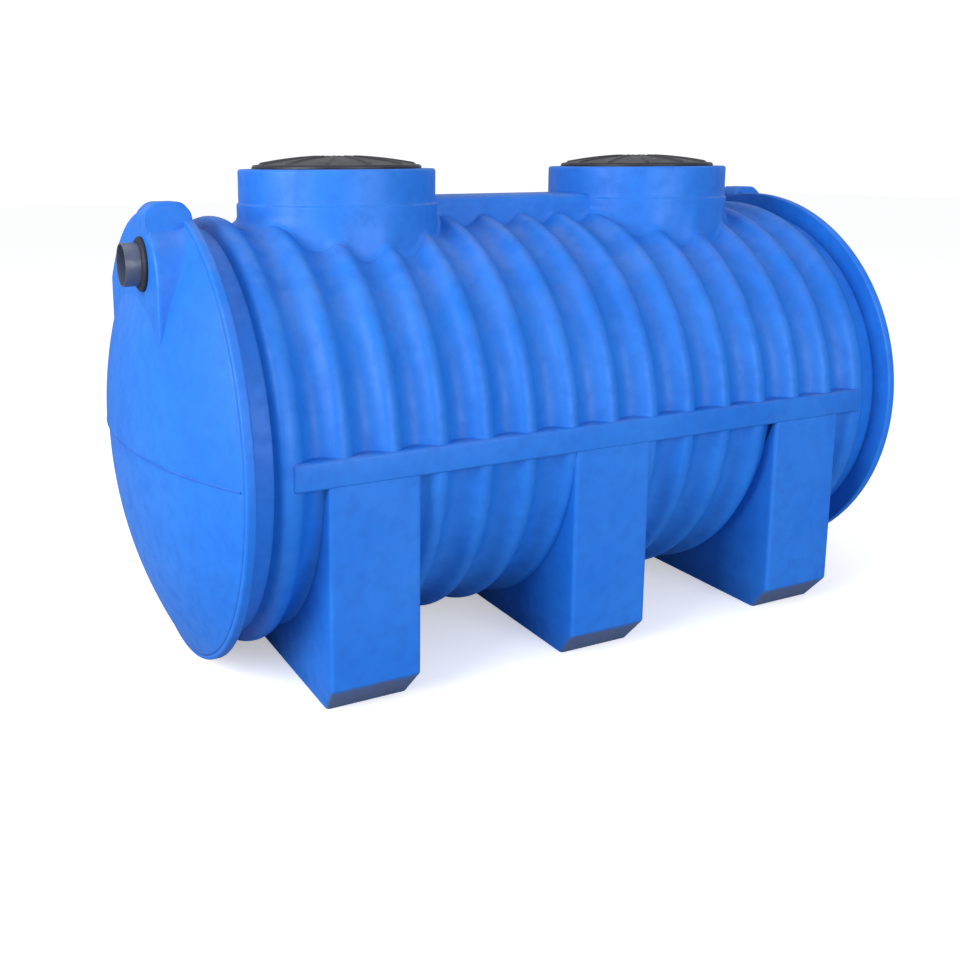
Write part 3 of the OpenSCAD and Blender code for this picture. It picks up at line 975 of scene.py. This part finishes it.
@dataclass
class Deck:
    """Raised deck between the two manholes."""

    barrel: Barrel
    necks: tuple[float, float] = (INLET_X, OUTLET_X)
    neck_mid_r: float = NECK_MID_R
    half_w: float = 0.110
    rise: float = 0.042
    round_r: float = 0.024

    def build(self, material: Material) -> None:
        """Makes the deck: a rounded section carried from neck to neck.

        The section's top is a quarter circle at each edge, its sides drop to the barrel's
        face with a small flare, and its two ends follow the necks' round walls.
        """
        top = self.barrel.crest_r + self.rise
        side_flare, side_lift = [0.012, 0.005, 0.001, 0.0], [0.0, 0.08, 0.2, 0.5]
        over = 41
        span = np.linspace(-1.0, 1.0, over)
        span = np.sign(span) * (1 - (1 - np.abs(span)) ** 1.5)
        y = np.concatenate([[-1.0] * 4, span, [1.0] * 4])
        flare = np.array(side_flare + [0.0] * over + side_flare[::-1])
        lift = np.array(side_lift + [1.0] * over + side_lift[::-1])[None, :]
        yy = (y * self.half_w + np.sign(y) * flare)[None, :]
        bow = np.sqrt(self.neck_mid_r**2 - yy**2)
        t = np.linspace(0.0, 1.0, 130)[:, None]
        x = (self.necks[0] + bow) * (1 - t) + (self.necks[1] - bow) * t
        yy = yy + 0.0 * x
        foot = self.barrel.height(x, yy) - 0.005
        edge = np.clip(np.abs(yy) - (self.half_w - self.round_r), 0.0, self.round_r)
        roof = top - self.round_r + np.sqrt(self.round_r**2 - edge**2)
        roof = np.where(lift < 1.0, top - self.round_r, roof)
        points = np.stack([x, yy, self.barrel.axis_z + foot + (roof - foot) * lift], axis=-1)
        piece = Piece("deck_top", Body.TANK, material, "tank_blue", ("deck",), 60.0)
        piece.build([Surface(points).mesh_data()])


# ---- manholes ----


@dataclass
class Manhole:
    """One manhole: the neck and its lid."""

    word: str
    x: float
    lid_body: Body
    barrel: Barrel
    neck_r: float = 0.277
    neck_rise: float = 0.706
    manway_r: float = 0.212
    rim_t: float = 0.014
    wall: float = WALL_T
    collar_rise: float = 0.026
    collar_out: float = 0.005
    lid_r: float = 0.238
    lid_rise: float = 0.025
    lid_edge: float = 0.008
    lid_wall: float = 0.005
    ribs: int = 12
    rib_h: float = 0.005
    rib_w: float = 0.010
    hub_r: float = 0.056
    rib_end: float = 0.014
    plug_h: float = 0.026
    plug_gap: float = 0.004

    def neck(self) -> Parts:
        """Neck: its section carried round, with the foot following the barrel.

        Returns:
            A closed grid, where the foot's rings take the barrel's height at their place
            and the outer ones are wider, which spreads the neck where it lands.
        """
        top = self.barrel.axis_z + self.neck_rise
        collar = self.barrel.axis_z + self.barrel.crest_r + self.collar_rise
        outer, inner = self.neck_r, self.neck_r - self.wall
        flare = outer + self.collar_out
        corners = [
            (flare, collar - 0.02), (flare, collar), (outer, collar + 0.004), (outer, top),
            (self.manway_r, top), (self.manway_r, top - self.rim_t), (inner, top - self.rim_t),
            (inner, collar - 0.02),
        ]
        radii = [0.0, 0.003, 0.003, 0.009, 0.003, 0.003, 0.004, 0.0]
        upper = refine(rounded_line(corners, radii, steps=6), 0.03)
        a = np.linspace(0.0, 2 * math.pi, 240, endpoint=False)[None, :]

        def ring(radius: float, drop: float) -> Array:
            """Ring that follows the barrel's face at that radius, drop above it."""
            x, y = radius * np.cos(a) + self.x, radius * np.sin(a)
            return np.stack([x, y, self.barrel.axis_z + self.barrel.height(x, y) + drop], axis=-1)

        r, h = upper[:, :1], upper[:, 1:]
        body = np.stack([self.x + r * np.cos(a), r * np.sin(a), h + 0.0 * a], axis=-1)
        first = ring(inner, -0.006)
        foot = [first, ring(flare + 0.014, -0.004), ring(flare + 0.005, 0.004), ring(flare, 0.013)]
        points = np.concatenate(foot + [body, first], axis=0)
        return [Surface(points, wrap_v=True, flip=True).mesh_data()]

    def dome(self, r: Array) -> Array:
        """Height of the lid's dome over its seat at radius r, part of a ball."""
        ball = (self.lid_r**2 + self.lid_rise**2) / (2 * self.lid_rise)
        return self.lid_edge + np.sqrt(ball * ball - r * r) - ball + self.lid_rise

    def lid(self) -> Parts:
        """Lid: a dome with radial ribs and a hub on top, and the ring under it.

        Returns:
            Closed grid over a section and the angle, where the top is raised by each rib's
            soft step across its width and along its length.
        """
        seat = self.barrel.axis_z + self.neck_rise
        reach = self.lid_r - self.rib_end
        plug = self.manway_r - self.plug_gap
        inside = plug - self.lid_wall
        rt = np.concatenate([[1e-5], np.linspace(0.012, self.lid_r - 0.004, 64)])
        a = np.linspace(0.0, 2 * math.pi, 576, endpoint=False)[None, :]
        r = rt[:, None]
        pitch = 2 * math.pi / self.ribs
        off = np.abs((a + pitch / 2) % pitch - pitch / 2) * r
        across = smooth(self.rib_w / 2 + 0.003, self.rib_w / 2 - 0.002, off)
        along = smooth(self.hub_r - 0.003, self.hub_r + 0.005, r) * smooth(reach, reach - 0.008, r)
        hub = smooth(self.hub_r - 0.006, self.hub_r - 0.012, r) * 0.5
        lip = smooth(self.lid_r - 0.016, self.lid_r - 0.010, r) * 0.0015
        h = self.dome(r) + self.rib_h * np.maximum(across * along, hub) + lip + 0.0 * a
        top = np.stack([self.x + r * np.cos(a), r * np.sin(a), seat + h], axis=-1)
        ceiling = float(self.dome(np.array(inside))) - self.lid_wall
        corners = [
            (self.lid_r - 0.0035, self.lid_edge + 0.0012), (self.lid_r, self.lid_edge - 0.002),
            (self.lid_r, 0.0), (plug, 0.0), (plug, -self.plug_h), (inside, -self.plug_h),
            (inside, ceiling),
        ]
        lower = rounded_line(corners, [0.0, 0.0015, 0.0015, 0.002, 0.0015, 0.0015, 0.0], steps=4)
        inward = np.linspace(inside, 1e-5, 14)[1:]
        under = np.stack([inward, self.dome(inward) - self.lid_wall], axis=1)
        line = np.concatenate([lower, under])
        rl, hl = line[:, :1], line[:, 1:]
        rest = np.stack([self.x + rl * np.cos(a), rl * np.sin(a), seat + hl + 0.0 * a], axis=-1)
        return [Surface(np.concatenate([top, rest], axis=0), wrap_v=True).mesh_data()]

    def build(self, blue: Material, black: Material) -> None:
        """Makes the neck and the lid.

        Args:
            blue: Finish of the moulding.
            black: Finish of the lid.
        """
        word = self.word
        Piece(f"{word}_neck_wall", Body.TANK, blue, "tank_blue", (f"neck_{word}",), 48.0).build(self.neck())
        lid = Piece(f"{word}_lid_cover", self.lid_body, black, "lid_black", (f"lid_{word}",), 60.0)
        lid.build(self.lid())


# ---- stage, light and camera ----


@dataclass(frozen=True)
class Lamp:
    """One square soft box: its place, what it faces, its side, power and colour."""

    name: str
    at: Place
    to: Place
    size: float
    power: float
    colour: Colour

    def hang(self) -> None:
        """Hangs the lamp and turns it to what it faces."""
        data = bpy.data.lights.new(self.name, "AREA")
        data.shape, data.size, data.energy, data.color = "SQUARE", self.size, self.power, self.colour
        lamp = bpy.data.objects.new(self.name, data)
        lamp.location = self.at
        lamp.rotation_euler = (Vector(self.to) - Vector(self.at)).to_track_quat("-Z", "Y").to_euler()
        bpy.context.scene.collection.objects.link(lamp)


LAMPS = (
    Lamp("key", (-5.6, -1.4, 2.4), (0.0, 0.0, 0.6), 3.4, 360.0, (1.0, 1.0, 0.99)),
    Lamp("fill", (0.4, -6.4, 1.9), (0.1, 0.0, 0.6), 4.0, 260.0, (0.97, 0.985, 1.0)),
    Lamp("top", (0.2, 0.8, 5.2), (0.0, 0.0, 0.6), 3.6, 30.0, (1.0, 1.0, 1.0)),
)


@dataclass
class Stage:
    """Pale floor, soft studio light and the camera."""

    camera_at: Place = (-1.742, -2.773, 1.346)
    yaw: float = 1.1274
    pitch: float = 0.1825
    roll: float = 0.0051
    lens: float = 39.73
    shift: tuple[float, float] = (0.1091, -0.1311)
    exposure: float = 0.0
    floor_half: float = 30.0
    floor_seen: float = 0.90
    floor_glow: float = 0.42
    floor_unseen: float = 0.40
    sky: float = 0.62
    sky_seen: float = 0.45

    def floor(self) -> None:
        """Lays the floor at z = 0, pale where the camera sees it and dimmer to all other rays."""
        mesh = bpy.data.meshes.new("floor")
        half = self.floor_half
        corners = [(-half, -half, 0.0), (half, -half, 0.0), (half, half, 0.0), (-half, half, 0.0)]
        mesh.from_pydata(corners, [], [(0, 1, 2, 3)])
        floor = bpy.data.objects.new("floor", mesh)
        bpy.context.scene.collection.objects.link(floor)
        material = bpy.data.materials.new("pale_floor")
        material.use_nodes = True
        material.node_tree.nodes.clear()
        lay = Nodes(material.node_tree)
        seen = lay.add("ShaderNodeLightPath").outputs["Is Camera Ray"]
        pale = lay.add("ShaderNodeBsdfDiffuse", {"Color": (*[self.floor_seen] * 3, 1.0)})
        glow = lay.add("ShaderNodeEmission", {"Color": (1.0, 1.0, 1.0, 1.0), "Strength": self.floor_glow})
        both = lay.add("ShaderNodeAddShader", {0: pale.outputs[0], 1: glow.outputs[0]})
        dim = lay.add("ShaderNodeBsdfDiffuse", {"Color": (*[self.floor_unseen] * 3, 1.0)})
        mix = lay.add("ShaderNodeMixShader", {0: seen, 1: dim.outputs[0], 2: both.outputs[0]})
        lay.add("ShaderNodeOutputMaterial", {"Surface": mix.outputs[0]})
        mesh.materials.append(material)

    def light(self) -> None:
        """Hangs the soft boxes and sets pale surroundings, brighter where the camera sees them."""
        for lamp in LAMPS:
            lamp.hang()
        world = bpy.data.worlds.new("studio")
        world.use_nodes = True
        world.node_tree.nodes.clear()
        lay = Nodes(world.node_tree)
        seen = lay.add("ShaderNodeLightPath").outputs["Is Camera Ray"]
        strength = lay.math("ADD", lay.times(seen, self.sky_seen), self.sky)
        glow = lay.add("ShaderNodeBackground", {"Color": (0.98, 0.99, 1.0, 1.0), "Strength": strength})
        lay.add("ShaderNodeOutputWorld", {"Surface": glow.outputs[0]})
        bpy.context.scene.world = world

    def camera(self) -> None:
        """Sets up the camera from its place, its two angles and its small roll."""
        data = bpy.data.cameras.new("view")
        data.lens, data.sensor_width = self.lens, 36.0
        data.shift_x, data.shift_y = self.shift
        data.clip_start, data.clip_end = 0.05, 100.0
        level = math.cos(self.pitch)
        ahead = Vector((math.cos(self.yaw) * level, math.sin(self.yaw) * level, -math.sin(self.pitch)))
        right = Vector((math.sin(self.yaw), -math.cos(self.yaw), 0.0))
        up = right.cross(ahead)
        turn = Matrix((right, up, -ahead)).transposed() @ Matrix.Rotation(-self.roll, 3, "Z")
        camera = bpy.data.objects.new("view", data)
        camera.matrix_world = Matrix.Translation(self.camera_at) @ turn.to_4x4()
        bpy.context.scene.collection.objects.link(camera)
        bpy.context.scene.camera = camera

    def build(self) -> None:
        """Sets the stage."""
        self.floor()
        self.light()
        self.camera()
        view = bpy.context.scene.view_settings
        view.view_transform, view.look, view.exposure = "Standard", "None", self.exposure


def main() -> None:
    """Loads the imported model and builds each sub-assembly on it."""
    logging.basicConfig(level=logging.INFO, format="%(message)s")
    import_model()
    effects = Effects()
    blue, foot_blue = TANK_BLUE.make(effects), FOOT_BLUE.make(effects)
    black, grey, rubber = (f.make(effects) for f in (LID_BLACK, PIPE_GREY, SEAL_RUBBER))
    barrel = Barrel()
    barrel.build(blue)
    for end in End:
        TankEnd(end).build(blue, grey, rubber)
    for word, x in (("inlet", -SADDLE_X), ("middle", 0.0), ("outlet", SADDLE_X)):
        Saddle(word, x, barrel).build(foot_blue)
    for side, word in ((1.0, "left"), (-1.0, "right")):
        Rail(side, word).build(blue)
    Deck(barrel).build(blue)
    Manhole("inlet", INLET_X, Body.INLET_LID, barrel).build(blue, black)
    Manhole("outlet", OUTLET_X, Body.OUTLET_LID, barrel).build(blue, black)
    Stage().build()


if __name__ == "__main__":
    main()
